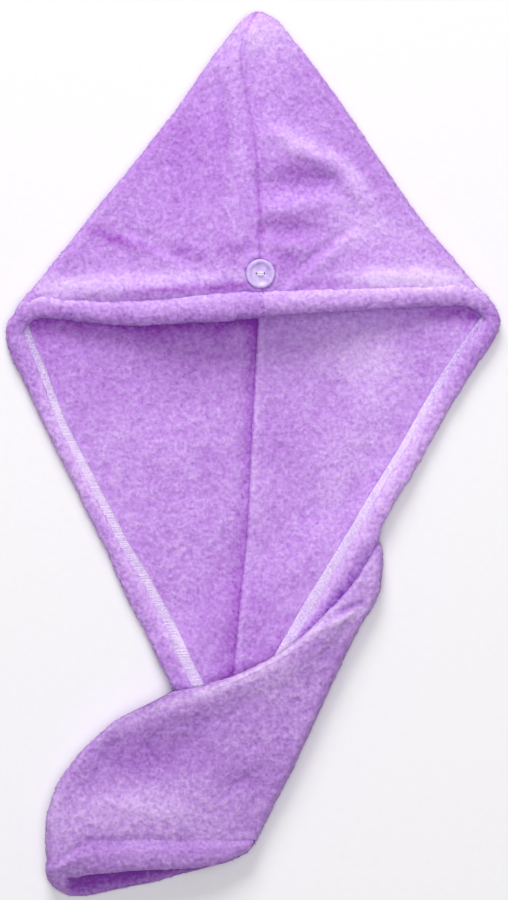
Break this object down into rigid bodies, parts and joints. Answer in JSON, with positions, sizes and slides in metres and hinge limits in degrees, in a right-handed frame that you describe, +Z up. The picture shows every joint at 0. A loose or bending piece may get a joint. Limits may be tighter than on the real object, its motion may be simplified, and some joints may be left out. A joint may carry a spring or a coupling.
{
  "type": "hair towel",
  "caption": "Fleece hair-drying hood lying flat, with a turned hem, a button on the front seam and a tail wrapped over its foot.",
  "frame": {"origin": "middle of the outline seen from above, on the surface that the towel lies on", "axes": "+Y towards the peak of the hood, +Z up from the surface, +X to the wearer's left-hand corner as seen from above"},
  "size_m": [0.2529, 0.4514, 0.0242],
  "materials": {
    "fleece": "brushed lilac coral fleece",
    "fleece_hem": "turned and stitched lilac fleece",
    "overlock_thread": "pale lilac overlock stitching",
    "pearl_plastic": "pearly translucent polyester",
    "sewing_thread": "polyester sewing thread"
  },
  "bodies": {
    "root": {"left_panel": "fleece", "right_panel": "fleece", "hem_left": "fleece_hem", "hem_right": "fleece_hem", "binding_left": "overlock_thread", "binding_right": "overlock_thread", "tail": "fleece", "tail_hem": "fleece_hem", "button": "pearl_plastic", "button_thread": "sewing_thread"}
  },
  "joints": []
}
